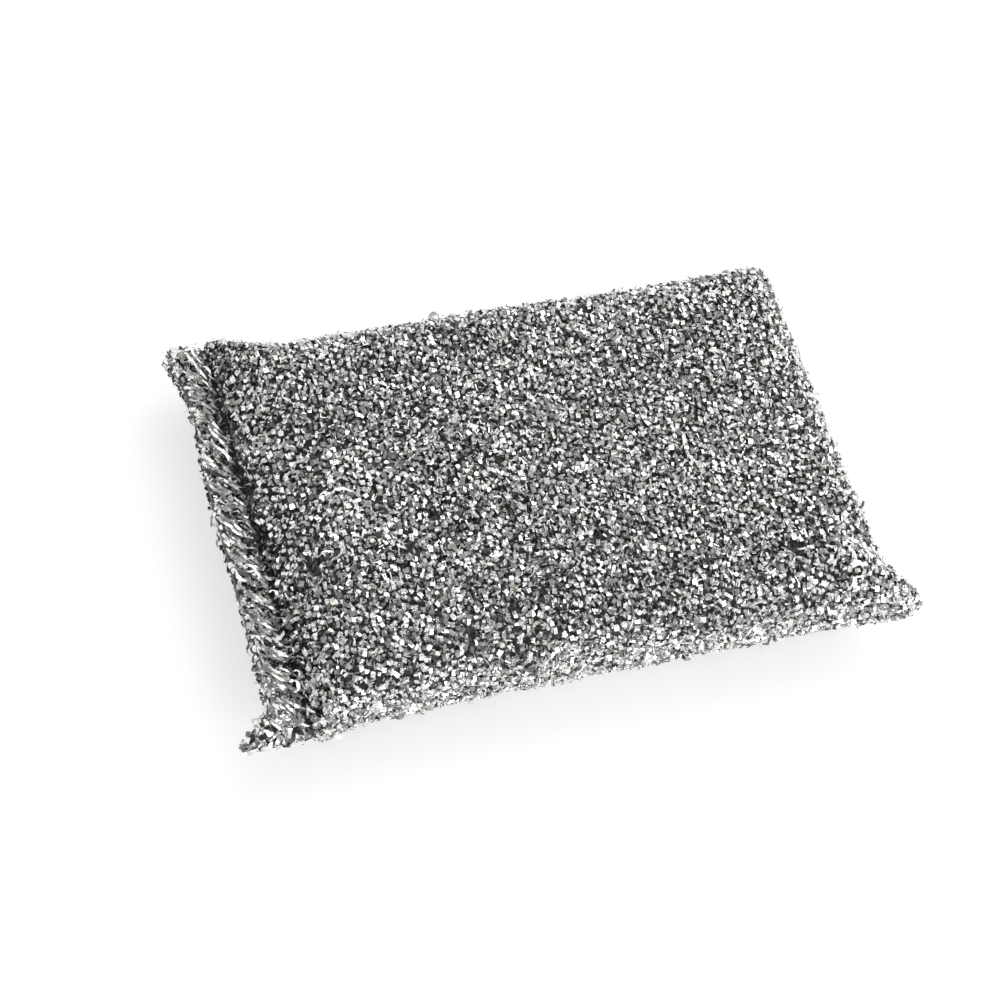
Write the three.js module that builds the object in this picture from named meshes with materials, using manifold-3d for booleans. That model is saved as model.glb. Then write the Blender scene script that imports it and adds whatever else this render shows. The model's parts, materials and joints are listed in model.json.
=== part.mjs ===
import * as THREE from 'three';
import { mergeVertices } from 'three/addons/utils/BufferGeometryUtils.js';
import Module from 'manifold-3d';

const wasm = await Module();
wasm.setup();

// A scouring sponge: a foam block in a circular-knit sleeve of metallised ribbon.
// X runs along the sleeve, from the closing seam with its raw edge to the turned end.
// Z = 0 is the surface that the sponge lies on, and X = 0 is the middle of the padded body.

// Sizes in millimetres
const bodyLength = 130; // closing seam to the turned end
const bodyWidth = 84; // across the long sides, over the stitch crests
const bodyThickness = 25; // resting face to top face, over the stitch crests
const sideRounding = 10; // radius where the faces roll into the long sides
const fabricThickness = 1; // one layer of the knit, below its crests
const stitchRelief = 1.4; // crests over the layer
const coursePitch = 2.4; // stitch rows of the relief, along X
const waleCount = 64; // stitch columns of the relief, round the tube
const crestScatter = 0.12; // how unevenly the crests and gaps stand, as a share of their height
const stitchScatter = 0.35; // how unevenly the stitches lie, as a share of their pitch
const layerGap = 0.3; // between two layers that are sewn together
const coreClearance = 0.3; // foam to sleeve
const closingRoll = 15; // length of the slope down to the closing seam
const turnedRoll = 9; // length of the slope down to the turned end
const closingEar = 6.5; // each corner past the long side, at the closing seam
const turnedEar = 4.5; // each corner past the long side, at the turned end
const finReach = 8; // closing seam to the raw edge
const finBulk = 1.9; // half thickness of the two loose layers past the seam, below their crests
const frontFlare = 5.5; // front corner of the raw edge, outwards
const backFlare = 1.2; // back corner of the raw edge, outwards
const rawEdgeScatter = 1.2; // how unevenly the raw edge ends
const creaseDepth = 1; // groove between the two lips of the turned end
const seamAllowance = 6; // the two layers folded inside at the turned end
const turnedSeamInset = 2.5; // turned end's thread, from the root of the allowance
const threadDiameter = 0.7;
const threadClearance = 0.3;
const stitchLength = 9; // one over and one under of a seam thread
const restPatch = 12; // side of the flat in the middle of the resting face

// What follows from them
const midHeight = bodyThickness / 2;
const groundHalfWidth = bodyWidth / 2 - stitchRelief;
const groundHalfHeight = midHeight - stitchRelief;
const sewnHalfHeight = fabricThickness + layerGap / 2;
const closingSeamX = -bodyLength / 2;
const turnedEndX = bodyLength / 2;
const threadRadius = threadDiameter / 2;
const threadLean = stitchLength * 0.04; // sideways run of the thread inside the cloth
const holeRadius = threadRadius + threadLean + threadClearance;
const seamLand = holeRadius + 0.25; // half width of the flat strip that the closing stitches lie in
const closingSlopeX = closingSeamX + seamLand;
const allowanceRootX = turnedEndX - creaseDepth - fabricThickness;
const allowanceHalfWidth = bodyWidth / 2 - 2 * fabricThickness - stitchRelief;

const degrees = THREE.MathUtils.degToRad;
const scatter = (i, j) => THREE.MathUtils.euclideanModulo(Math.sin(i * 12.9898 + j * 78.233) * 43758.5453, 1);
const range = (count, make) => Array.from({ length: count }, (_, k) => make(k));

// Half width of the sleeve at x: it spreads into an ear where the padding thins out at each end.
function halfWidthAt(x) {
  const closing = THREE.MathUtils.clamp((closingSlopeX + closingRoll - x) / closingRoll, 0, 1);
  const turned = THREE.MathUtils.clamp((x - turnedEndX + turnedRoll) / turnedRoll, 0, 1);
  return groundHalfWidth + closingEar * closing ** 1.5 + turnedEar * turned ** 1.5;
}

// Point at a share of the way round a rounded rectangle: from the +Y side, over the top to -Y and back below.
function roundedPoint(halfWidth, halfHeight, radius, share) {
  const upright = halfHeight - radius;
  const arc = (Math.PI / 2) * radius;
  const quarter = upright + arc + halfWidth - radius;
  const folded = share < 0.5 ? share : 1 - share;
  const along = (folded < 0.25 ? folded : 0.5 - folded) * 4 * quarter;
  const point = new THREE.Vector2(halfWidth, along);
  if (along > upright + arc) point.set(halfWidth - radius - (along - upright - arc), halfHeight);
  else if (along > upright) {
    const turn = (along - upright) / radius;
    point.set(halfWidth - radius + radius * Math.cos(turn), upright + radius * Math.sin(turn));
  }
  if (folded > 0.25) point.x = -point.x;
  if (share > 0.5) point.y = -point.y;
  return point;
}

// Section of the tube at one station, as a closed ring of points.
function ring(station, shares, inset) {
  const halfWidth = halfWidthAt(station.x) - inset;
  const radius = Math.min(sideRounding - inset, 0.8 * station.halfHeight);
  return shares(halfWidth, station.halfHeight, radius).map((share) => {
    const point = roundedPoint(halfWidth, station.halfHeight, radius, share);
    return new THREE.Vector3(station.x, point.x, midHeight + point.y);
  });
}

// Columns spaced evenly round the tube, as the stitches of the knit are.
const evenShares = () => range(waleCount, (j) => (j + 0.5) / waleCount);

// Columns at fixed places on each side, corner and face, so that two nested surfaces run parallel.
function cornerShares(halfWidth, halfHeight, radius) {
  const upright = halfHeight - radius;
  const arc = (Math.PI / 2) * radius;
  const face = halfWidth - radius;
  const stops = [upright / 2, upright, upright + arc / 3, upright + (2 * arc) / 3, upright + arc];
  range(3, (k) => stops.push(upright + arc + (face * (k + 1)) / 3.5));
  const quarter = stops.map((stop) => stop / (upright + arc + face) / 4);
  const half = [...quarter, ...quarter.map((share) => 0.5 - share).reverse()];
  return [...half, ...half.map((share) => 1 - share).reverse()];
}

// Closed body through rings of equal count, each end shut by a strip from its upper to its lower edge.
function solidFromRings(rings) {
  const count = rings[0].length;
  const last = (rings.length - 1) * count;
  const index = [];
  rings.slice(1).forEach((_, i) => {
    range(count, (j) => {
      const a = i * count + j;
      const b = i * count + ((j + 1) % count);
      if ((i + j) % 2) index.push(a, b, b + count, a, b + count, a + count);
      else index.push(a, b, a + count, b, b + count, a + count);
    });
  });
  range(count / 2 - 1, (j) => {
    const below = count - 1 - j;
    index.push(j, below, j + 1, j + 1, below, below - 1);
    index.push(last + j, last + j + 1, last + below, last + j + 1, last + below - 1, last + below);
  });
  const geometry = new THREE.BufferGeometry().setFromPoints(rings.flat());
  geometry.setIndex(index);
  return geometry;
}

function toSolid(geometry) {
  const bare = geometry.clone();
  bare.deleteAttribute('normal');
  bare.deleteAttribute('uv');
  const merged = mergeVertices(bare);
  const vertProperties = new Float32Array(merged.attributes.position.array);
  const triVerts = new Uint32Array(merged.index.array);
  return new wasm.Manifold(new wasm.Mesh({ numProp: 3, vertProperties, triVerts }));
}

function toGeometry(solid) {
  const mesh = solid.getMesh();
  const geometry = new THREE.BufferGeometry();
  geometry.setAttribute('position', new THREE.BufferAttribute(mesh.vertProperties, 3));
  geometry.setIndex(new THREE.BufferAttribute(mesh.triVerts, 1));
  geometry.computeVertexNormals();
  return geometry;
}

function slab(fromX, toX, halfWidth, halfHeight) {
  const box = new THREE.BoxGeometry(toX - fromX, 2 * halfWidth, 2 * halfHeight);
  return toSolid(box.translate((fromX + toX) / 2, 0, midHeight));
}

// Stations of the sleeve's outer surface, below the stitch crests. relief is the share of the crests' height.
function sleeveStations() {
  const finStart = closingSeamX - seamLand;
  const finLength = finReach - seamLand;
  const fin = [
    { x: finStart - finLength, halfHeight: finBulk, relief: 0.5 },
    { x: finStart - 0.7 * finLength, halfHeight: finBulk, relief: 0.9 },
    { x: finStart - 0.4 * finLength, halfHeight: finBulk, relief: 0.9 },
    { x: finStart - 0.15 * finLength, halfHeight: (finBulk + sewnHalfHeight) / 2, relief: 0.4 },
  ];
  const land = [-1, 0, 1].map((side) => ({
    x: closingSeamX + side * seamLand,
    halfHeight: sewnHalfHeight,
    relief: 0,
  }));
  const rise = groundHalfHeight - sewnHalfHeight;
  const closingSlope = range(7, (k) => {
    const angle = degrees(12 * (k + 1));
    const x = closingSlopeX + closingRoll * (1 - Math.cos(angle));
    return { x, halfHeight: sewnHalfHeight + rise * Math.sin(angle), relief: k ? 1 : 0.5 };
  });
  const flatStart = closingSlopeX + closingRoll;
  const flatEnd = turnedEndX - turnedRoll;
  const courses = Math.round((flatEnd - flatStart) / coursePitch);
  const flat = range(courses + 1, (k) => {
    return { x: flatStart + ((flatEnd - flatStart) * k) / courses, halfHeight: groundHalfHeight, relief: 1 };
  });
  const turnedSlope = range(6, (k) => {
    const angle = degrees(90 - 15 * (k + 1));
    const x = turnedEndX - turnedRoll * (1 - Math.cos(angle));
    return { x, halfHeight: sewnHalfHeight + rise * Math.sin(angle), relief: k < 5 ? 1 : 0.4 };
  });
  const crease = { x: turnedEndX - creaseDepth, halfHeight: layerGap, relief: 0 };
  return [...fin, ...land, ...closingSlope, ...flat, ...turnedSlope, crease];
}

// How far a stitch stands out. Crests and gaps take turns, and on the resting face the crests are pressed
// flat against the surface below, with a pit between every four of them.
function stitchHeight(i, j, ground, rings) {
  const point = ground[i][j];
  const resting = rings[i].relief === 1 && point.z < midHeight - groundHalfHeight + 0.01;
  if (resting) {
    const onPatch = Math.abs(point.x) < restPatch / 2 && Math.abs(point.y) < restPatch / 2;
    return i % 2 || j % 2 || onPatch ? stitchRelief : crestScatter * stitchRelief;
  }
  const share = (i + j) % 2 ? 1 - crestScatter * scatter(i, j) : crestScatter * scatter(i, j);
  return share * stitchRelief * rings[i].relief;
}

function sleeveSkin() {
  const rings = sleeveStations();
  const ground = rings.map((station) => ring(station, evenShares, 0));
  return solidFromRings(ground.map((points, i) => points.map((point, j) => {
    const before = ground[Math.max(i - 1, 0)][j];
    const after = ground[Math.min(i + 1, ground.length - 1)][j];
    const left = points[(j + 1) % waleCount];
    const right = points[(j + waleCount - 1) % waleCount];
    const along = new THREE.Vector3().subVectors(after, before);
    const round = new THREE.Vector3().subVectors(left, right);
    const outwards = new THREE.Vector3().crossVectors(round, along).normalize();
    const loose = rings[i].relief > 0.8 && i > 0 ? stitchScatter / 2 : 0;
    const moved = point.clone().addScaledVector(outwards, stitchHeight(i, j, ground, rings));
    moved.addScaledVector(along, loose * (scatter(i, j + 0.5) - 0.5));
    moved.addScaledVector(round, loose * (scatter(i + 0.5, j) - 0.5));
    const finShare = THREE.MathUtils.clamp((closingSeamX - seamLand - point.x) / (finReach - seamLand), 0, 1);
    const corner = THREE.MathUtils.smoothstep(Math.abs(point.y), 0.75 * bodyWidth / 2, bodyWidth / 2 + closingEar);
    moved.x -= finShare * corner * (point.y < 0 ? frontFlare : backFlare);
    if (i === 0) moved.x -= (scatter(j, 7) - 0.5) * rawEdgeScatter;
    moved.z = THREE.MathUtils.clamp(moved.z, 0, bodyThickness);
    return moved;
  })));
}

// Stations of a surface inside the sleeve, inset from it, from one slope round to the other.
function innerStations(inset, closingAngle, turnedAngle, turnedX) {
  const height = groundHalfHeight - inset;
  const closing = range(6, (k) => {
    const angle = degrees(closingAngle + ((90 - closingAngle) * k) / 5);
    const x = closingSlopeX + inset + (closingRoll - inset) * (1 - Math.cos(angle));
    return { x, halfHeight: height * Math.sin(angle) };
  });
  const turned = range(6, (k) => {
    const angle = degrees(turnedAngle + ((90 - turnedAngle) * (5 - k)) / 5);
    const x = turnedX - (turnedRoll - inset) * (1 - Math.cos(angle));
    return { x, halfHeight: height * Math.sin(angle) };
  });
  return [...closing, ...turned];
}

// A seam thread: a running stitch that goes straight through the cloth and bows over it on both faces.
class RunningStitch extends THREE.Curve {
  constructor(x, strokes) {
    super();
    this.x = x;
    this.strokes = strokes;
    this.height = sewnHalfHeight + threadClearance + threadRadius;
  }

  getPoint(t, target = new THREE.Vector3()) {
    const phase = (this.strokes * t - 0.5) * Math.PI;
    const middle = ((this.strokes - 1) * Math.PI) / 2;
    const y = (stitchLength / (2 * Math.PI)) * (phase - middle - 0.5 * Math.sin(2 * phase));
    return target.set(this.x, y, midHeight + this.height * Math.sin(phase));
  }
}

function threadGeometry(x, strokes) {
  const section = new THREE.Shape().absarc(0, 0, threadRadius, 0, 2 * Math.PI, false);
  const path = new RunningStitch(x, strokes);
  return new THREE.ExtrudeGeometry(section, { extrudePath: path, steps: strokes * 6, curveSegments: 3 });
}

function threadHoles(x, strokes) {
  return range(strokes, (k) => {
    const y = (k - (strokes - 1) / 2) * (stitchLength / 2);
    const hole = new THREE.CylinderGeometry(holeRadius, holeRadius, bodyThickness / 2, 6).rotateX(Math.PI / 2);
    return toSolid(hole.translate(x, y, midHeight));
  });
}

const strokesAcross = (halfWidth) => Math.floor((2 * (halfWidth - 2 * holeRadius)) / (stitchLength / 2));
const closingStrokes = strokesAcross(halfWidthAt(closingSeamX) - fabricThickness);
const turnedSeamX = allowanceRootX - turnedSeamInset;
const turnedStrokes = strokesAcross(allowanceHalfWidth - fabricThickness);

function sleeveGeometry() {
  const rawEdge = closingSeamX - finReach - frontFlare - rawEdgeScatter;
  const closingSlit = slab(rawEdge, closingSlopeX + 3 * fabricThickness,
    halfWidthAt(closingSeamX) - fabricThickness, layerGap / 2);
  const cavityRings = innerStations(fabricThickness, 8, 14, allowanceRootX);
  const cavity = toSolid(solidFromRings(cavityRings.map((station) => ring(station, cornerShares, fabricThickness))));
  const allowance = slab(allowanceRootX - seamAllowance, allowanceRootX + creaseDepth / 2,
    allowanceHalfWidth, sewnHalfHeight);
  const turnedSlit = slab(allowanceRootX - seamAllowance - fabricThickness, turnedEndX + stitchRelief,
    allowanceHalfWidth - fabricThickness, layerGap / 2);
  const closingHoles = threadHoles(closingSeamX, closingStrokes);
  const turnedHoles = threadHoles(turnedSeamX, turnedStrokes).map((hole) => hole.intersect(allowanceReach()));
  const sleeve = toSolid(sleeveSkin()).subtract(cavity).add(allowance);
  const cuts = [closingSlit, turnedSlit, ...closingHoles, ...turnedHoles];
  return toGeometry(cuts.reduce((cloth, cut) => cloth.subtract(cut), sleeve));
}

// The room that the folded-in layers and their thread take up inside the sleeve.
function allowanceReach() {
  const fromX = allowanceRootX - seamAllowance - coreClearance;
  const room = sewnHalfHeight + threadDiameter + 2 * threadClearance;
  return slab(fromX, turnedEndX, allowanceHalfWidth + coreClearance, room);
}

function coreGeometry() {
  const inset = fabricThickness + coreClearance;
  const rings = innerStations(inset, 16, 32, allowanceRootX - coreClearance);
  const block = toSolid(solidFromRings(rings.map((station) => ring(station, cornerShares, inset))));
  return toGeometry(block.subtract(allowanceReach()));
}

const metallisedKnit = new THREE.MeshStandardMaterial({ color: 0x8c8e8c, roughness: 0.38, metalness: 0.85 });
const greyFoam = new THREE.MeshStandardMaterial({ color: 0x9a9a96, roughness: 0.95, metalness: 0 });
const blackThread = new THREE.MeshStandardMaterial({ color: 0x1c1c1e, roughness: 0.7, metalness: 0 });

function named(name, geometry, material) {
  const mesh = new THREE.Mesh(geometry, material);
  mesh.name = name;
  return mesh;
}

const sponge = new THREE.Group();
sponge.add(
  named('foam_core', coreGeometry(), greyFoam),
  named('knit_sleeve', sleeveGeometry(), metallisedKnit),
  named('closing_seam_thread', threadGeometry(closingSeamX, closingStrokes), blackThread),
  named('turned_seam_thread', threadGeometry(turnedSeamX, turnedStrokes), blackThread),
);

export default sponge;
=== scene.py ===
import json
import math

import bpy
import numpy as np
from mathutils import Matrix, Vector

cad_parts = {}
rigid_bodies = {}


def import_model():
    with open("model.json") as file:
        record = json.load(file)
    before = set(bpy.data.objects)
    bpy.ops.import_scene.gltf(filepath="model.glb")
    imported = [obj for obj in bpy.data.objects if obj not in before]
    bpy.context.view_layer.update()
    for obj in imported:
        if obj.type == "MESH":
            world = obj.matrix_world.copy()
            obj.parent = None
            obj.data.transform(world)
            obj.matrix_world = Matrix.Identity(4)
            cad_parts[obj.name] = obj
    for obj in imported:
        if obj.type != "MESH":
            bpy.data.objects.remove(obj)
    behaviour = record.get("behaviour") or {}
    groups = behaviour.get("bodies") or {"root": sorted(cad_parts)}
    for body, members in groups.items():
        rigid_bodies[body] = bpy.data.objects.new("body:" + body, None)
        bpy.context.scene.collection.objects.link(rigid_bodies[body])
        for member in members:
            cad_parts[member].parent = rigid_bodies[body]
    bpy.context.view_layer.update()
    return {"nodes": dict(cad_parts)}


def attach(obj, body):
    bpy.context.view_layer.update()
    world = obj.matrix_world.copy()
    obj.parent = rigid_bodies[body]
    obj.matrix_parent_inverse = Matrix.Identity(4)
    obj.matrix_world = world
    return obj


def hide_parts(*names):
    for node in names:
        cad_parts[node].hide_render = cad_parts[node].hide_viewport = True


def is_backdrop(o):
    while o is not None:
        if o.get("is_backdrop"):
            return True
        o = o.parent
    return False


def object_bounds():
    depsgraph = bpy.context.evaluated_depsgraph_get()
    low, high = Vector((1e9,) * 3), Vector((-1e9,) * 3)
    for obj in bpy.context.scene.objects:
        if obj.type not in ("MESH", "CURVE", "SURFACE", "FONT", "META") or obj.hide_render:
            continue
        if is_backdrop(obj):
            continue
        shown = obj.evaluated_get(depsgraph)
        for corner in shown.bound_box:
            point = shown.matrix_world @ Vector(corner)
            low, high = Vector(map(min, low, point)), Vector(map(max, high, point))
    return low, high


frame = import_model()
print("frame loaded")

# Kitchen sponge: a foam block in a knitted sleeve of silver ribbon and black yarn.
# Metres. X runs from the closing seam and its raw edge to the turned end, Z = 0 is the floor.
pad = {
    "length": 0.130,  # closing seam to turned end
    "width": 0.086,  # across the long sides, over the loops
    "backward": 0.0006,  # the pad lies this much towards its back side
    "thickness": 0.025,  # floor to the top of the loops
    "rounding": 0.0078,  # faces rolling into the long sides
    "roundingLimit": 0.8,  # the most, as a share of the half height
    "pile": 0.0014,  # loops over the ground cloth
    "endPile": 0.0023,  # loops past the turned end
    "closingRoll": 0.015,  # length over which the faces roll down to the closing seam
    "turnedRoll": 0.009,
    "rollStep": 3,  # degrees between the points of a rolled end
    "closingEar": 0.0053,  # corners pulled out at the sewn end
    "closingSkew": 0.0012,  # the back one more than the front one
    "turnedEar": 0.0031,
    "turnedSkew": -0.0008,
    "earPower": 1.5,  # how steeply the ears grow towards an end
    "turnedFlare": 0.0052,  # front corner of the turned end, drawn out to a point
    "tipStart": 0.39,  # where that corner begins, as a share of the width
    "tipRise": 0.0034,
    "crease": 0.0010,
    "creaseHalf": 0.0003,
    "sewnHalf": 0.00115,  # half thickness of the two sewn layers
    "seamLand": 0.00126,  # half width of the sewn strip
    "finReach": 0.0073,
    "finBulk": 0.0019,
    "finNeck": 0.15,  # where the fin thins towards the seam, as a share of its length
    "frontFlare": 0.0080,
    "backFlare": 0.0012,
    "flareStart": 0.45,  # as a share of the width
    "finDent": 0.0013,  # raw edge drawn in near its back end
    "finDentY": 0.030,
    "finDentSpan": 0.010,
    "waveHeight": 0.00035,  # unevenness of the faces and sides
    "waveStart": 0.004,  # half height from which the faces are uneven
    "flank": 0.8,  # share of the half height that counts as long side
}
finShape = [(1.0, 0.55), (0.93, 0.9), (0.7, 1.0), (0.4, 1.0)]  # shares of the fin's length and bulk
waveRows = [  # radians per metre in x and y, phase, height
    (61, 43, 0.7, 1), (-37, 83, 2.1, 1), (127, -59, 4.0, 0.6),
]
mid = pad["thickness"] / 2
groundHalfWidth = pad["width"] / 2 - pad["pile"]
groundHalfHeight = mid - pad["pile"]
seamX = -pad["length"] / 2
endX = pad["length"] / 2 - pad["endPile"]
slopeX = seamX + pad["seamLand"]

rng = np.random.default_rng(26)


def deselectAll():
    for item in bpy.context.scene.objects:
        item.select_set(False)
    bpy.context.view_layer.objects.active = None


# Profile from the raw edge to the crease of the turned end, as x and half height at each length along it
def sleeveProfile():
    finStart = seamX - pad["seamLand"]
    finLength = pad["finReach"] - pad["seamLand"]
    points = [(finStart - reach * finLength, bulk * pad["finBulk"]) for reach, bulk in finShape]
    points.append((finStart - pad["finNeck"] * finLength, (pad["finBulk"] + pad["sewnHalf"]) / 2))
    points.append((finStart, pad["sewnHalf"]))
    points.append((slopeX, pad["sewnHalf"]))
    rise = groundHalfHeight - pad["sewnHalf"]
    angles = np.radians(np.arange(pad["rollStep"], 90.1, pad["rollStep"]))
    for angle in angles:
        x = slopeX + pad["closingRoll"] * (1 - math.cos(angle))
        points.append((x, pad["sewnHalf"] + rise * math.sin(angle)))
    for angle in angles[::-1]:
        x = endX - pad["turnedRoll"] * (1 - math.cos(angle))
        points.append((x, pad["sewnHalf"] + rise * math.sin(angle)))
    points.append((endX, pad["sewnHalf"]))
    points.append((endX - pad["crease"], pad["creaseHalf"]))
    return np.array(points)


profile = sleeveProfile()
profileRun = np.concatenate([[0], np.cumsum(np.linalg.norm(np.diff(profile, axis=0), axis=1))])
sewnPoints = len(finShape) + 3  # points from the raw edge to the end of the sewn strip
runSeam = float(np.interp(seamX, profile[:sewnPoints, 0], profileRun[:sewnPoints]))
runTotal = float(profileRun[-1])


def endShares(x):
    closing = np.clip((slopeX + pad["closingRoll"] - x) / pad["closingRoll"], 0, 1)
    turned = np.clip((x - endX + pad["turnedRoll"]) / pad["turnedRoll"], 0, 1)
    return closing ** pad["earPower"], turned ** pad["earPower"]


def smooth(value, low, high):
    part = np.clip((value - low) / (high - low), 0, 1)
    return part * part * (3 - 2 * part)


def gentleWaves(x, y):
    waves = sum(height * np.sin(perX * x + perY * y + phase) for perX, perY, phase, height in waveRows)
    return waves / sum(row[3] for row in waveRows)


# Ground cloth: run is the length along the profile, share goes round the tube from the back side
def sleevePoint(run, share):
    run = np.clip(run, 0, runTotal)
    share = np.mod(share, 1)
    x = np.interp(run, profileRun, profile[:, 0])
    halfHeight = np.interp(run, profileRun, profile[:, 1])
    closing, turned = endShares(x)
    halfWidth = groundHalfWidth + pad["closingEar"] * closing + pad["turnedEar"] * turned
    radius = np.minimum(pad["rounding"], pad["roundingLimit"] * halfHeight)
    upright = halfHeight - radius
    arc = math.pi / 2 * radius
    quarter = upright + arc + halfWidth - radius
    folded = np.where(share < 0.5, share, 1 - share)
    along = np.where(folded < 0.25, folded, 0.5 - folded) * 4 * quarter
    turn = np.clip((along - upright) / radius, 0, math.pi / 2)
    y = halfWidth - radius + radius * np.cos(turn) - np.maximum(along - upright - arc, 0)
    z = np.minimum(along, upright) + radius * np.sin(turn)
    y = np.where(folded > 0.25, -y, y)
    z = np.where(share > 0.5, -z, z)
    finShare = np.clip((seamX - pad["seamLand"] - x) / (pad["finReach"] - pad["seamLand"]), 0, 1)
    corner = smooth(np.abs(y), pad["flareStart"] * pad["width"], pad["width"] / 2 + pad["closingEar"])
    flared = x - finShare * corner * np.where(y < 0, pad["frontFlare"], pad["backFlare"])
    dent = pad["finDent"] * np.exp(-(((y - pad["finDentY"]) / pad["finDentSpan"]) ** 2))
    flared = flared + finShare * dent
    tip = smooth(-y, pad["tipStart"] * pad["width"], pad["width"] / 2 + pad["turnedEar"])
    flared = flared + turned * tip * pad["turnedFlare"]
    waves = pad["waveHeight"] * gentleWaves(x, y)
    sideward = np.where(np.abs(z) < pad["flank"] * groundHalfHeight, np.sign(y) * waves, 0)
    upward = np.where(z > 0, waves * smooth(halfHeight, pad["waveStart"], groundHalfHeight), 0)
    skewed = y + pad["backward"] + pad["closingSkew"] * closing + pad["turnedSkew"] * turned
    raised = turned * tip * pad["tipRise"]
    return np.stack([flared, skewed + sideward, mid + z + upward + raised], -1)


# Place on the ground cloth with its directions along the sleeve, round it and outwards
def sleeveFrame(run, share):
    step = 0.0003
    turn = step / 0.2  # the tube is roughly 0.2 round
    here = sleevePoint(run, share)
    along = sleevePoint(run + step, share) - sleevePoint(run - step, share)
    around = sleevePoint(run, share + turn) - sleevePoint(run, share - turn)
    along /= np.linalg.norm(along, axis=-1, keepdims=True) + 1e-12
    out = np.cross(around, along)
    out /= np.linalg.norm(out, axis=-1, keepdims=True) + 1e-12
    around = np.cross(along, out)
    return here, along, around, out


def meshFrom(name, vertices, quads, triangles, attributes):
    mesh = bpy.data.meshes.new(name)
    corners = np.concatenate([quads.ravel(), triangles.ravel()]).astype(np.int32)
    sizes = np.concatenate([np.full(len(quads), 4), np.full(len(triangles), 3)]).astype(np.int32)
    starts = np.concatenate([[0], np.cumsum(sizes)[:-1]]).astype(np.int32)
    mesh.vertices.add(len(vertices))
    mesh.vertices.foreach_set("co", vertices.astype(np.float32).ravel())
    mesh.loops.add(len(corners))
    mesh.loops.foreach_set("vertex_index", corners)
    mesh.polygons.add(len(sizes))
    mesh.polygons.foreach_set("loop_start", starts)
    mesh.update(calc_edges=True)
    mesh.shade_flat()
    for key, values in attributes.items():
        attribute = mesh.attributes.new(key, "FLOAT", "POINT")
        attribute.data.foreach_set("value", values.astype(np.float32))
    mesh.validate()
    piece = bpy.data.objects.new(name, mesh)
    bpy.context.scene.collection.objects.link(piece)
    return piece


# How every loop is bent, turned and laid
laying = {
    "swayRange": (0.4, 1.6),  # sway of one kind of loop, as a share of its shape's sway
    "stretchLimits": (0.45, 1.7),
    "tiltLimit": 60,  # degrees
    "sideSlope": (0.4, 0.95),  # upward part of the outward direction, from the sides to the faces
    "floorGap": 0.00005,  # no loop goes lower
}


# Loops are modelled once as small strips with a keel, bent at a few stations, then copied over the cloth
def stripPrototype(shape, seed):
    local = np.random.default_rng(seed)
    stations = len(shape["along"])
    cuts = stations - 1
    deselectAll()
    bpy.ops.mesh.primitive_grid_add(x_subdivisions=cuts, y_subdivisions=1, size=1, location=(0, 0, 0))
    strip = bpy.context.object
    bpy.ops.object.mode_set(mode="EDIT")
    bpy.ops.mesh.select_all(action="SELECT")
    bpy.ops.mesh.extrude_region_move(TRANSFORM_OT_translate={"value": (0, 0, -1)})
    bpy.ops.transform.resize(value=(1, 0, 1))  # the lower face narrows to the keel's line
    bpy.ops.mesh.select_all(action="SELECT")
    bpy.ops.mesh.remove_doubles(threshold=0.001)
    bpy.ops.mesh.normals_make_consistent(inside=False)
    bpy.ops.object.mode_set(mode="OBJECT")
    along = np.array(shape["along"]) + shape["jitter"] * local.standard_normal(stations)
    rise = np.array(shape["rise"]) + shape["jitter"] * local.standard_normal(stations)
    swayShare = local.uniform(*laying["swayRange"])
    sway = np.array(shape["sway"]) * swayShare * local.choice([-1, 1], p=shape["swaySides"])
    width = np.array(shape["width"]) * local.uniform(1 - shape["ragged"], 1 + shape["ragged"], stations)
    twist = math.radians(shape["twist"]) * local.standard_normal() * np.linspace(-1, 1, stations)
    for vertex in strip.data.vertices:
        station = round((vertex.co.x + 0.5) * cuts)
        aside = np.sign(round(vertex.co.y, 3)) * width[station] / 2
        drop = shape["keel"] if vertex.co.z < -0.5 else 0
        turned = twist[station] + math.radians(shape["stand"])
        vertex.co.x = along[station]
        vertex.co.y = sway[station] + aside * math.cos(turned) + drop * math.sin(turned)
        vertex.co.z = rise[station] + aside * math.sin(turned) - drop * math.cos(turned)
    points = np.array([vertex.co[:] for vertex in strip.data.vertices])
    quads = np.array([face.vertices[:] for face in strip.data.polygons if len(face.vertices) == 4])
    ends = np.array([face.vertices[:] for face in strip.data.polygons if len(face.vertices) == 3])
    bpy.data.objects.remove(strip)
    return points, quads, ends


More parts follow.
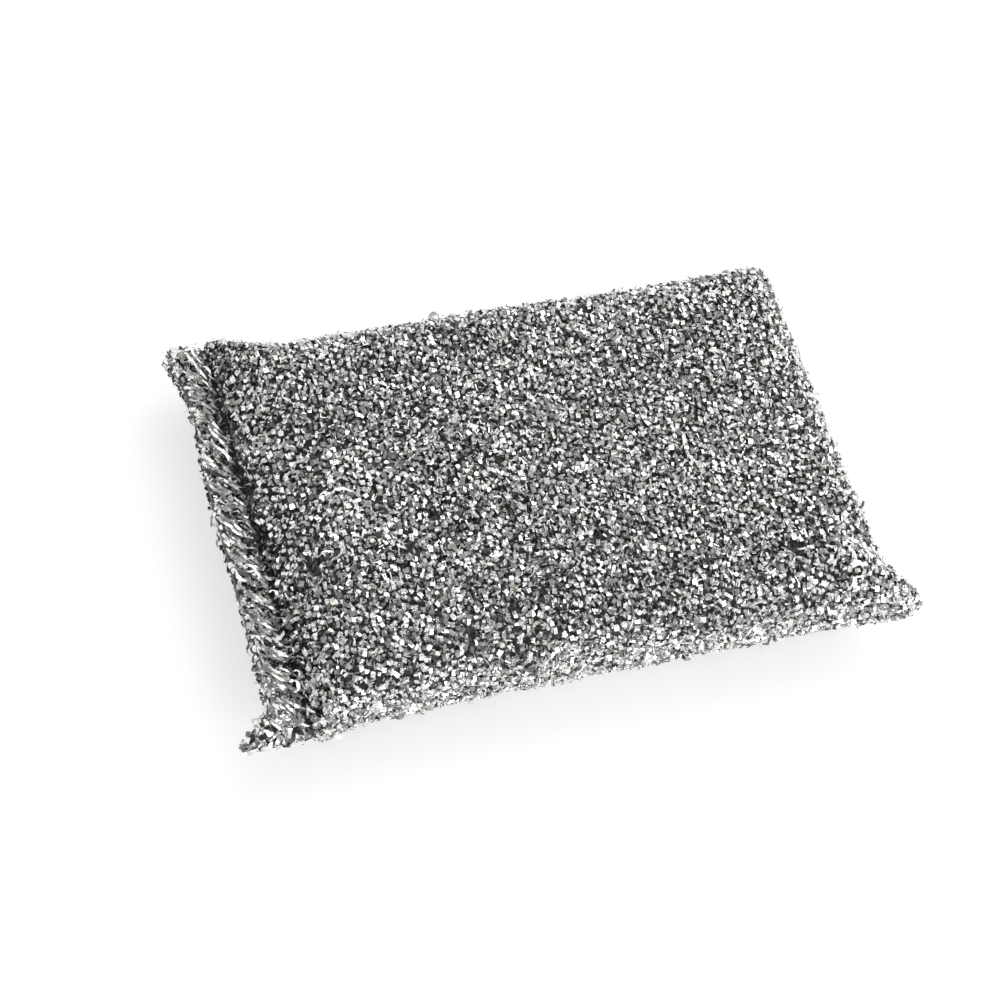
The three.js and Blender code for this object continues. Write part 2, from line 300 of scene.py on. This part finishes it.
# Turns, stretches and places copies of a loop: x of the loop lies along its yaw, z off the cloth
def layLoops(name, shape, run, share, seed):
    local = np.random.default_rng(seed)
    kinds = [stripPrototype(shape, seed * 100 + kind) for kind in range(shape["kinds"])]
    shapes = np.array([kind[0] for kind in kinds])
    quads, ends = kinds[0][1], kinds[0][2]
    count = len(run)
    here, along, around, out = sleeveFrame(run, share)
    points = shapes[local.integers(len(kinds), size=count)]
    stretch = 1 + np.array(shape["stretch"]) * local.standard_normal((count, 3))
    points = points * np.clip(stretch, *laying["stretchLimits"])[:, None]
    limit = math.radians(laying["tiltLimit"])
    loose = 1 + shape.get("sideLoose", 0) * (1 - smooth(np.abs(out[:, 2]), *laying["sideSlope"]))
    roll = np.clip(np.radians(shape["rollSpread"]) * loose * local.standard_normal(count), -limit, limit)
    pitch = np.clip(np.radians(shape["pitchSpread"]) * loose * local.standard_normal(count), -limit, limit)
    yaw = np.radians(shape["yaw"] + shape["yawSpread"] * local.standard_normal(count))

    def spin(first, second, angle):
        cosine, sine = np.cos(angle)[:, None], np.sin(angle)[:, None]
        kept = points[:, :, first].copy()
        points[:, :, first] = cosine * kept - sine * points[:, :, second]
        points[:, :, second] = sine * kept + cosine * points[:, :, second]

    spin(1, 2, roll)
    spin(2, 0, pitch)
    spin(0, 1, yaw)
    lift = shape["lift"] + shape["liftSpread"] * local.standard_normal(count)
    lift = lift - shape.get("finSink", 0) * (run < runSeam)
    placed = here[:, None] + points[:, :, :1] * along[:, None] + points[:, :, 1:2] * around[:, None]
    placed = placed + (points[:, :, 2:] + lift[:, None, None]) * out[:, None]
    vertices = placed.reshape(-1, 3)
    vertices[:, 2] = np.maximum(vertices[:, 2], laying["floorGap"])
    step = (np.arange(count) * shapes.shape[1])[:, None, None]
    tones = np.repeat(local.random(count), shapes.shape[1])
    quads, ends = (step + quads).reshape(-1, 4), (step + ends).reshape(-1, 3)
    return meshFrom(name, vertices, quads, ends, {"tone": tones})


print("sleeve surface ready")

# Stitch places: courses along the profile, every other one half a wale on, wales round the tube
knit = {"course": 0.00160, "wales": 108, "scatter": 0.12}
hollowSpots = [  # gaps in the pile where the dark ground cloth shows, black yarn and painted depth shade: x, y, radius
    (-0.0303, -0.0076, 0.0015), (-0.0373, -0.0135, 0.0013), (-0.0570, -0.0130, 0.0014),
    (-0.0199, -0.0314, 0.0013), (-0.0132, -0.0293, 0.0012), (-0.0304, -0.0356, 0.0012),
    (0.0025, -0.0192, 0.0013), (-0.0130, 0.0025, 0.0012), (0.0440, -0.0302, 0.0016),
]
hollowRim = (0.85, 1.25)  # how ragged their rims are


def stitchPlaces(seed, runShift, shareShift, keep=1.0):
    local = np.random.default_rng(seed)
    courses = int(runTotal / knit["course"])
    course, wale = np.meshgrid(np.arange(courses), np.arange(knit["wales"]), indexing="ij")
    wale = wale + 0.5 * (course % 2) + shareShift
    course = course + 0.5 + runShift
    course = course + knit["scatter"] * local.standard_normal(course.shape)
    wale = wale + knit["scatter"] * local.standard_normal(wale.shape)
    kept = local.random(course.size) < keep
    return (course.ravel() * runTotal / courses)[kept], np.mod(wale.ravel() / knit["wales"], 1)[kept]


def clearHollows(run, share, local):
    here = sleevePoint(run, share)
    kept = np.ones(len(run), bool)
    for x, y, radius in hollowSpots:
        away = np.hypot(here[:, 0] - x, here[:, 1] - y) * local.uniform(*hollowRim, len(run))
        kept &= (away > radius) | (here[:, 2] < mid)
    return run[kept], share[kept]


# Lengths along the profile and shares round the tube of the upper places nearest to the given x and y
def upperPlaces(spots):
    lengths, shares = np.linspace(0, runTotal, 700), np.linspace(0, 0.5, 500)
    run, share = (grid.ravel() for grid in np.meshgrid(lengths, shares))
    here = sleevePoint(run, share)
    found = []
    for x, y in spots:
        away = np.hypot(here[:, 0] - x, here[:, 1] - y) + (here[:, 2] < mid)
        found.append(int(np.argmin(away)))
    return run[found], share[found]


# Materials
def material(name, colour, metallic, roughness):
    made = bpy.data.materials.new(name)
    made.use_nodes = True
    shader = made.node_tree.nodes["Principled BSDF"]
    shader.inputs["Base Color"].default_value = (*colour, 1)
    shader.inputs["Metallic"].default_value = metallic
    shader.inputs["Roughness"].default_value = roughness
    return made, made.node_tree.nodes, made.node_tree.links, shader


def colourMix(nodes, links, factor, first, second, blend="MIX"):
    mix = nodes.new("ShaderNodeMix")
    mix.data_type = "RGBA"
    mix.blend_type = blend
    for socket, value in ((mix.inputs[0], factor), (mix.inputs[6], first), (mix.inputs[7], second)):
        if isinstance(value, tuple):
            socket.default_value = (*value, 1)
        elif isinstance(value, float):
            socket.default_value = value
        else:
            links.new(value, socket)
    return mix.outputs[2]


def noiseTexture(nodes, links, place, scale, detail):
    noise = nodes.new("ShaderNodeTexNoise")
    noise.inputs["Scale"].default_value = scale
    noise.inputs["Detail"].default_value = detail
    links.new(place.outputs["Object"], noise.inputs["Vector"])
    return noise.outputs["Fac"]


def spreadRange(nodes, links, value, low, high, least=0.0):
    spread = nodes.new("ShaderNodeMapRange")
    spread.inputs["From Min"].default_value = low
    spread.inputs["From Max"].default_value = high
    spread.inputs["To Min"].default_value = least
    links.new(value, spread.inputs["Value"])
    return spread.outputs["Result"]


def addBump(nodes, links, shader, height, distance):
    bump = nodes.new("ShaderNodeBump")
    bump.inputs["Strength"].default_value = 1.0
    bump.inputs["Distance"].default_value = distance
    links.new(height, bump.inputs["Height"])
    links.new(bump.outputs["Normal"], shader.inputs["Normal"])


silver = {
    "roughness": 0.27,
    "tones": [  # each loop draws a number from 0 to 1, the last few loops are a little warmer
        (0.0, (0.22, 0.22, 0.218)), (0.25, (0.66, 0.66, 0.655)), (0.5, (0.97, 0.97, 0.965)),
        (0.94, (0.97, 0.97, 0.965)), (0.96, (0.88, 0.87, 0.77)), (1.0, (0.92, 0.9, 0.86)),
    ],
    "crumpleScale": 1500,
    "crumpleDepth": 0.00009,
    "scuffScale": 2600,
    "scuffRange": (0.38, 0.62),
    "scuffDull": 0.72,  # colour left where the scuffs are deepest
}


def ribbonMaterial():
    made, nodes, links, shader = material("silverRibbon", (0.7, 0.7, 0.7), 1.0, silver["roughness"])
    tone = nodes.new("ShaderNodeAttribute")
    tone.attribute_name = "tone"
    ramp = nodes.new("ShaderNodeValToRGB")
    while len(ramp.color_ramp.elements) < len(silver["tones"]):
        ramp.color_ramp.elements.new(0.5)
    for element, (position, colour) in zip(ramp.color_ramp.elements, silver["tones"]):
        element.position = position
        element.color = (*colour, 1)
    links.new(tone.outputs["Fac"], ramp.inputs["Fac"])
    place = nodes.new("ShaderNodeTexCoord")
    crumple = noiseTexture(nodes, links, place, silver["crumpleScale"], 2)
    scuff = noiseTexture(nodes, links, place, silver["scuffScale"], 1)
    dull = spreadRange(nodes, links, scuff, *silver["scuffRange"], silver["scuffDull"])
    scuffed = colourMix(nodes, links, 1.0, ramp.outputs["Color"], dull, "MULTIPLY")
    links.new(scuffed, shader.inputs["Base Color"])
    addBump(nodes, links, shader, crumple, silver["crumpleDepth"])
    return made


# Black yarn: the fibre noise that raises the bump also paints the colour, near black in the hollows as
# painted shade and lighter on the raised fibres as painted light
yarn = {
    "fibreScale": 1700,
    "fibreRange": (0.36, 0.66),
    "fibreDepth": 0.0006,
    "fibreHollowShade": (0.004, 0.004, 0.004),
    "lit": (0.15, 0.147, 0.145),
}


def yarnMaterial():
    made, nodes, links, shader = material("blackYarnWithPaintedShade", (0.022, 0.021, 0.021), 0.0, 0.55)
    place = nodes.new("ShaderNodeTexCoord")
    fibres = noiseTexture(nodes, links, place, yarn["fibreScale"], 3)
    clear = spreadRange(nodes, links, fibres, *yarn["fibreRange"])
    # painted shade in the fibre hollows, painted light on the fibre tops
    shade = colourMix(nodes, links, clear, yarn["fibreHollowShade"], yarn["lit"])
    links.new(shade, shader.inputs["Base Color"])
    addBump(nodes, links, shader, fibres, yarn["fibreDepth"])
    return made


# Open foam: the cell pattern that sinks the pores in the bump also paints them darker, as painted shade;
# the walls keep the foam's own colour
foam = {"cellScale": 1100, "cellDepth": 0.0005, "poreShade": (0.36, 0.33, 0.22), "wall": (0.72, 0.68, 0.52)}


def foamMaterial():
    made, nodes, links, shader = material("openFoam", (0.62, 0.58, 0.42), 0.0, 0.9)
    place = nodes.new("ShaderNodeTexCoord")
    cells = nodes.new("ShaderNodeTexVoronoi")
    cells.inputs["Scale"].default_value = foam["cellScale"]
    links.new(place.outputs["Object"], cells.inputs["Vector"])
    shade = colourMix(nodes, links, cells.outputs["Distance"], foam["poreShade"], foam["wall"])
    links.new(shade, shader.inputs["Base Color"])
    addBump(nodes, links, shader, cells.outputs["Distance"], foam["cellDepth"])
    return made


# Black sewing thread: the wave that raises the plies also paints the grooves between them darker, as
# painted shade
thread = {"plyScale": 700, "plyDepth": 0.00015, "groove": (0.012, 0.012, 0.012), "ply": (0.07, 0.07, 0.068)}


def threadMaterial():
    made, nodes, links, shader = material("sewingThread", (0.03, 0.03, 0.03), 0.0, 0.5)
    place = nodes.new("ShaderNodeTexCoord")
    plies = nodes.new("ShaderNodeTexWave")
    plies.bands_direction = "DIAGONAL"
    plies.inputs["Scale"].default_value = thread["plyScale"]
    links.new(place.outputs["Object"], plies.inputs["Vector"])
    shade = colourMix(nodes, links, plies.outputs["Fac"], thread["groove"], thread["ply"])
    links.new(shade, shader.inputs["Base Color"])
    addBump(nodes, links, shader, plies.outputs["Fac"], thread["plyDepth"])
    return made


silverRibbon = ribbonMaterial()
blackYarnWithPaintedShade = yarnMaterial()


# Curved strands shade smoothly along their length, flat faces of the loops do not
def softenBends(piece):
    deselectAll()
    piece.select_set(True)
    bpy.context.view_layer.objects.active = piece
    bpy.ops.object.shade_smooth_by_angle(angle=math.radians(38))


def dress(piece, finish):
    piece.data.materials.clear()
    piece.data.materials.append(finish)
    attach(piece, "root")


def halves(run, share):
    upper = share < 0.5
    return {"top": upper, "under": ~upper}


# Stations of a loop are given along it, up and aside, spreads and turns in degrees, stand is its lean
flake = {  # flat face of a ribbon loop, its ends bent down into the cloth
    "along": [-0.00064, -0.00051, 0.00051, 0.00064],
    "rise": [-0.0006, 0.0, 0.0, -0.0006],
    "sway": [0, 0, 0, 0],
    "swaySides": [0.5, 0.5],
    "width": [0.0007, 0.00085, 0.00085, 0.0007],
    "twist": 9, "stand": 0, "keel": 0.00012, "ragged": 0.3, "jitter": 0.00006, "kinds": 12,
    "stretch": (0.2, 0.16, 0.2), "rollSpread": 21, "pitchSpread": 19, "yaw": 90, "yawSpread": 15,
    "lift": 0.00115, "liftSpread": 0.00022,
    "sideLoose": 0.4,  # looser by this share on the long sides
    "finSink": 0.0004,  # closer to the cloth on the fin
}
lowFlake = dict(flake, lift=0.00085, liftSpread=0.00025, rollSpread=24, pitchSpread=22, yawSpread=34)
lowFlake["width"] = [0.0006, 0.0008, 0.0008, 0.0006]
edgeRibbon = {  # the same ribbon seen on its edge, leaning across the courses
    "along": [-0.0011, -0.0004, 0.0004, 0.0011],
    "rise": [-0.0005, 0.0, 0.0, -0.0005],
    "sway": [0, 0.0002, 0.0002, 0],
    "swaySides": [0.5, 0.5],
    "width": [0.0006, 0.0008, 0.0008, 0.0006],
    "twist": 12, "stand": 54, "keel": 0.0001, "ragged": 0.3, "jitter": 0.00008, "kinds": 12,
    "stretch": (0.2, 0.15, 0.2), "rollSpread": 16, "pitchSpread": 12, "yaw": -27, "yawSpread": 14,
    "lift": 0.0009, "liftSpread": 0.0002,
}
yarnLoop = {  # black yarn knitted in with the ribbon
    "along": [-0.0012, -0.0006, 0.0006, 0.0012],
    "rise": [-0.0007, 0.0, 0.0, -0.0007],
    "sway": [0, 0.0003, 0.0003, 0],
    "swaySides": [0.5, 0.5],
    "width": [0.0004, 0.00045, 0.00045, 0.0004],
    "twist": 10, "stand": 0, "keel": 0.0004, "ragged": 0.3, "jitter": 0.0001, "kinds": 12,
    "stretch": (0.2, 0.2, 0.3), "rollSpread": 40, "pitchSpread": 15, "yaw": -60, "yawSpread": 50,
    "lift": 0.00060, "liftSpread": 0.00025,
}
fleck = {  # short glints of ribbon between the loops
    "along": [-0.00042, 0.00042],
    "rise": [0.0, 0.0],
    "sway": [0, 0],
    "swaySides": [0.5, 0.5],
    "width": [0.0003, 0.0003],
    "twist": 25, "stand": 0, "keel": 0.0001, "ragged": 0.5, "jitter": 0.00006, "kinds": 16,
    "stretch": (0.35, 0.3, 0.2), "rollSpread": 38, "pitchSpread": 26, "yaw": 60, "yawSpread": 60,
    "lift": 0.00135, "liftSpread": 0.0003,
}
layers = [  # shape, name, finish, shifts along and round by parts of a stitch, share kept, seed
    (flake, "ribbon_faces", silverRibbon, 0.0, 0.0, 1.0, 1),
    (lowFlake, "ribbon_backs", silverRibbon, 0.5, 0.25, 1.0, 2),
    (edgeRibbon, "ribbon_edges", silverRibbon, 0.25, 0.5, 0.6, 3),
    (yarnLoop, "yarn_loops", blackYarnWithPaintedShade, 0.5, 0.5, 0.6, 4),
    (fleck, "ribbon_flecks", silverRibbon, 0.75, 0.3, 1.0, 5),
]
seamGap = {"half": 0.0011, "ragged": 0.0004}  # strip along the seam that has yarn alone
earMargin = 0.0045  # the thin ears have no flecks, which would float there

for look, label, finish, runShift, shareShift, keep, seed in layers:
    run, share = stitchPlaces(seed, runShift, shareShift, keep)
    if look is fleck:
        more = stitchPlaces(seed + 1, 0.25, 0.8, keep)
        run, share = np.concatenate([run, more[0]]), np.concatenate([share, more[1]])
        inside = run < runTotal - earMargin
        run, share = run[inside], share[inside]
    rough = np.random.default_rng(seed + 50).normal(0, seamGap["ragged"], run.shape)
    sewn = np.abs(run - runSeam + rough) < seamGap["half"]
    if finish is silverRibbon:
        run, share = clearHollows(run[~sewn], share[~sewn], np.random.default_rng(seed + 70))
    for half, chosen in halves(run, share).items():
        piece = layLoops(f"{label}_{half}", look, run[chosen], share[chosen], seed * 10 + (half == "top"))
        if look is not flake and look is not lowFlake:
            softenBends(piece)
        dress(piece, finish)

finRibbon = {  # long bowed strands laid aslant over the raw edge, down into the seam
    "along": [-0.0024, -0.0019, -0.0009, 0.0003, 0.0015, 0.0022],
    "rise": [-0.0008, 0.0, 0.0004, 0.0004, 0.0, -0.0009],
    "sway": [-0.0006, -0.0003, 0.0003, 0.0004, 0.0, -0.0007],
    "swaySides": [0.1, 0.9],
    "width": [0.0004, 0.0005, 0.0006, 0.0006, 0.0005, 0.0004],
    "twist": 12, "stand": 0, "keel": 0.0001, "ragged": 0.3, "jitter": 0.00008, "kinds": 10,
    "stretch": (0.18, 0.15, 0.25), "rollSpread": 16, "pitchSpread": 8, "yaw": 48, "yawSpread": 9,
    "lift": 0.0014, "liftSpread": 0.00025,
}
finRows = [(0.0060, 52), (0.0043, 52), (0.0026, 46)]  # distance before the seam, strands on each side
finMargin, finSpan = 0.012, 0.476  # share of the girth left free at a row's end, share that the row takes
finScatter = {"share": 0.25, "run": 0.0003}  # part of a strand's pitch, distance
finRun, finShares = [], []
for before, strands in finRows:
    for side in (0.0, 0.5):
        order = np.arange(strands) + 0.5 + finScatter["share"] * rng.standard_normal(strands)
        finRun.append(runSeam - before + finScatter["run"] * rng.standard_normal(strands))
        finShares.append(side + finMargin + order / strands * finSpan)
cornerSpots = [  # more loops on the drawn-out corners: lengths along the profile, shares round it, loops
    (0.0, runSeam - 0.0015, 0.43, 0.57, 400),
    (0.0, runSeam - 0.0015, -0.04, 0.04, 90),
    (runTotal - 0.010, runTotal, 0.42, 0.58, 420),
    (runTotal - 0.018, runTotal - 0.008, 0.40, 0.52, 160),
    (runSeam + 0.0026, runSeam + 0.009, 0.42, 0.55, 170),
]
cornerRun, cornerShares = [], []
for first, last, low, high, loops in cornerSpots:
    cornerRun.append(rng.uniform(first, last, loops))
    cornerShares.append(rng.uniform(low, high, loops))
corners = layLoops("corner_loops", flake, np.concatenate(cornerRun), np.concatenate(cornerShares), 81)
dress(corners, silverRibbon)
finStrands = layLoops("fin_strands", finRibbon, np.concatenate(finRun), np.concatenate(finShares), 71)
softenBends(finStrands)
dress(finStrands, silverRibbon)

grooveArc = {  # slack ribbon loops standing open beside the seam
    "along": [-0.0009, -0.0014, -0.0006, 0.0006, 0.0014, 0.0009],
    "rise": [-0.0006, 0.0, 0.0003, 0.0003, 0.0, -0.0006],
    "sway": [0.0012, 0.0002, -0.0010, -0.0010, 0.0002, 0.0012],
    "swaySides": [0.0, 1.0],
    "width": [0.0005, 0.0006, 0.0007, 0.0007, 0.0006, 0.0005],
    "twist": 10, "stand": 0, "keel": 0.0001, "ragged": 0.2, "jitter": 0.00008, "kinds": 8,
    "stretch": (0.15, 0.2, 0.2), "rollSpread": 14, "pitchSpread": 10, "yaw": 96, "yawSpread": 12,
    "lift": 0.0026, "liftSpread": 0.0002,
}
arcPlaces = [  # distance before the seam, share round the tube
    (0.0012, 0.368), (0.0014, 0.388), (0.0012, 0.405), (0.0015, 0.420), (0.0019, 0.434), (0.0026, 0.446),
    (0.0036, 0.458), (-0.0010, 0.436), (-0.0014, 0.452), (0.0012, 0.335), (0.0013, 0.300),
]
arcs = np.array(arcPlaces)
grooveArcs = layLoops("groove_arcs", grooveArc, runSeam - arcs[:, 0], arcs[:, 1], 61)
softenBends(grooveArcs)
dress(grooveArcs, silverRibbon)

strayLoop = dict(edgeRibbon, lift=0.0017, liftSpread=0.00035, rollSpread=50, pitchSpread=30, yawSpread=70)
strayShare = 0.07  # stitches that have a stray loop
run, share = stitchPlaces(91, 0.1, 0.7, strayShare)
strays = layLoops("stray_loops", strayLoop, run, share, 91)
softenBends(strays)
dress(strays, silverRibbon)

longStray = {  # pulled strands that lie over the stitches
    "along": [-0.0036, -0.0027, -0.0011, 0.0011, 0.0027, 0.0036],
    "rise": [-0.0010, 0.0, 0.0003, 0.0003, 0.0, -0.0010],
    "sway": [-0.0010, -0.0002, 0.0006, 0.0006, -0.0002, -0.0010],
    "swaySides": [0.5, 0.5],
    "width": [0.0003, 0.0004, 0.0005, 0.0005, 0.0004, 0.0003],
    "twist": 14, "stand": 0, "keel": 0.0001, "ragged": 0.2, "jitter": 0.00015, "kinds": 6,
    "stretch": (0.25, 0.3, 0.2), "rollSpread": 14, "pitchSpread": 4, "yaw": 60, "yawSpread": 45,
    "lift": 0.0017, "liftSpread": 0.0002,
}
longSpots = [  # x and y
    (0.0406, -0.0327), (0.0036, -0.0364), (-0.0552, -0.0282), (-0.0215, 0.0150), (0.0280, 0.0210),
    (0.0120, -0.0060), (-0.0420, 0.0240), (0.0540, 0.0050), (-0.0060, 0.0330), (-0.0480, 0.0010),
]
longRun, longShare = upperPlaces(longSpots)
longStrays = layLoops("long_strands", longStray, longRun, longShare, 95)
softenBends(longStrays)
dress(longStrays, silverRibbon)

brownSpeck = dict(fleck, width=[0.0005, 0.0005], lift=0.0019, liftSpread=0, rollSpread=5, pitchSpread=5)
brownSpeck["kinds"] = 1
speckSpot = (-0.0746, -0.0297)  # x and y, on the raw edge
speckRun, speckShare = upperPlaces([speckSpot])
speck = layLoops("brown_speck", brownSpeck, speckRun, speckShare, 97)
dress(speck, material("brownSpeck", (0.17, 0.09, 0.045), 0.0, 0.7)[0])
print("ribbons laid")


# Ground cloth under the loops, a closed skin: black yarn, and painted shade for the shadowed depth of the
# knit between the loops
def groundClothAndDepthShade():
    rows, columns = 90, 96
    lengths, shares = np.linspace(0, runTotal, rows), (np.arange(columns) + 0.5) / columns
    run, share = np.meshgrid(lengths, shares, indexing="ij")
    vertices = sleevePoint(run.ravel(), share.ravel())
    index = np.arange(rows * columns).reshape(rows, columns)
    nextColumn = np.roll(index, -1, 1)
    quads = np.stack([index[:-1], nextColumn[:-1], nextColumn[1:], index[1:]], -1).reshape(-1, 4)
    above = np.arange(columns // 2 - 1)
    below = columns - 1 - above
    first = np.stack([index[0, above], index[0, below], index[0, below - 1], index[0, above + 1]], -1)
    last = np.stack([index[-1, above], index[-1, above + 1], index[-1, below - 1], index[-1, below]], -1)
    faces = np.concatenate([quads, first, last])
    return meshFrom("ground_cloth_and_depth_shade", vertices, faces, np.zeros((0, 3), int), {})


cloth = groundClothAndDepthShade()
dress(cloth, blackYarnWithPaintedShade)
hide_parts("knit_sleeve")

nodeFinishes = {
    "foam_core": foamMaterial(),
    "closing_seam_thread": threadMaterial(),
    "turned_seam_thread": threadMaterial(),
}
for node, finish in nodeFinishes.items():
    frame["nodes"][node].data.materials.clear()
    frame["nodes"][node].data.materials.append(finish)
print("cloth made")

# Floor, light and camera
studio = {
    "floorSize": 6,
    "floorDrop": 0.0002,
    "floorShade": 0.60,
    "floorGlow": 0.55,  # lifts the floor to white where the camera or a mirror sees it
    "ambient": 0.57,  # diffuse light of the room
    "zenith": 0.23,  # what the ribbons mirror overhead
    "zenithTint": (1.0, 0.995, 0.985),
    "zenithPlace": 0.88,
    "horizon": 1.15,
    "horizonTint": (0.99, 1.0, 0.992),
    "horizonPlace": 0.45,
    "lampDistance": 1.2,
    "lampSize": 0.8,
}
scene = bpy.context.scene
scene.view_settings.view_transform = "Standard"


def seenRays(nodes, links):
    path = nodes.new("ShaderNodeLightPath")
    seen = nodes.new("ShaderNodeMath")
    seen.operation = "ADD"
    links.new(path.outputs["Is Camera Ray"], seen.inputs[0])
    links.new(path.outputs["Is Glossy Ray"], seen.inputs[1])
    both = nodes.new("ShaderNodeMath")
    both.operation = "ADD"
    both.use_clamp = True
    links.new(seen.outputs[0], both.inputs[0])
    links.new(path.outputs["Is Transmission Ray"], both.inputs[1])
    return path, both.outputs[0]


def makeFloor():
    deselectAll()
    bpy.ops.mesh.primitive_plane_add(size=studio["floorSize"], location=(0, 0, -studio["floorDrop"]))
    floor = bpy.context.object
    floor.name = "floor"
    paint, nodes, links, shader = material("floorPaint", (studio["floorShade"],) * 3, 0.0, 0.95)
    floor.data.materials.append(paint)
    floor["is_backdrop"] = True
    seen = seenRays(nodes, links)[1]
    glow = nodes.new("ShaderNodeMath")
    glow.operation = "MULTIPLY"
    glow.inputs[1].default_value = studio["floorGlow"]
    links.new(seen, glow.inputs[0])
    shader.inputs["Emission Color"].default_value = (1, 1, 1, 1)
    links.new(glow.outputs[0], shader.inputs["Emission Strength"])


def makeWorld():
    world = bpy.data.worlds.new("studio")
    world.use_nodes = True
    nodes, links = world.node_tree.nodes, world.node_tree.links
    background = nodes["Background"]
    place = nodes.new("ShaderNodeTexCoord")
    split = nodes.new("ShaderNodeSeparateXYZ")
    links.new(place.outputs["Generated"], split.inputs[0])
    ramp = nodes.new("ShaderNodeValToRGB")
    low, high = ramp.color_ramp.elements
    low.position = studio["horizonPlace"]
    low.color = [studio["horizon"] * part for part in studio["horizonTint"]] + [1]
    high.position = studio["zenithPlace"]
    high.color = [studio["zenith"] * part for part in studio["zenithTint"]] + [1]
    links.new(split.outputs["Z"], ramp.inputs["Fac"])
    path, seen = seenRays(nodes, links)
    room = colourMix(nodes, links, seen, (studio["ambient"],) * 3, ramp.outputs["Color"])
    shown = colourMix(nodes, links, path.outputs["Is Camera Ray"], room, (1, 1, 1))
    links.new(shown, background.inputs["Color"])
    scene.world = world


def softbox(name, direction, power, tint=(1, 1, 1)):
    deselectAll()
    place = Vector(direction).normalized() * studio["lampDistance"]
    bpy.ops.object.light_add(type="AREA", location=place)
    lamp = bpy.context.object
    lamp.name = name
    lamp.data.shape = "SQUARE"
    lamp.data.size = studio["lampSize"]
    lamp.data.energy = power
    lamp.data.color = tint
    lamp.rotation_euler = (-place).to_track_quat("-Z", "Y").to_euler()


makeFloor()
makeWorld()
softbox("keyLight", (0.40, 0.52, 0.80), 3.6)
softbox("frontLight", (0.2, -1.0, 0.42), 6.0, (0.94, 1.0, 0.98))
softbox("sideLight", (1.0, 0.25, 0.40), 3.0, (0.96, 1.0, 0.99))
print("studio lit")

cameraPlace = {
    "elevation": 58.167,
    "azimuth": -30.890,
    "roll": 16.731,
    "distance": 0.60228,
    "target": (-0.01106, 0.00112, 0.010),
    "focalPixels": 2800,
    "imagePixels": 1000,
    "sensor": 36,
}


def makeCamera():
    angles = (math.radians(cameraPlace[key]) for key in ("elevation", "azimuth", "roll"))
    elevation, azimuth, roll = angles
    level = math.cos(elevation)
    back = Vector((math.sin(azimuth) * level, -math.cos(azimuth) * level, math.sin(elevation)))
    right = Vector((0, 0, 1)).cross(back).normalized()
    up = back.cross(right)
    rolledRight = math.cos(roll) * right + math.sin(roll) * up
    rolledUp = -math.sin(roll) * right + math.cos(roll) * up
    deselectAll()
    bpy.ops.object.camera_add(location=Vector(cameraPlace["target"]) + back * cameraPlace["distance"])
    camera = bpy.context.object
    camera.data.sensor_width = cameraPlace["sensor"]
    camera.data.lens = cameraPlace["focalPixels"] * cameraPlace["sensor"] / cameraPlace["imagePixels"]
    turned = Matrix((rolledRight, rolledUp, back)).transposed()
    camera.rotation_euler = turned.to_euler()
    scene.camera = camera


makeCamera()
low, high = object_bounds()
print("scene ready")
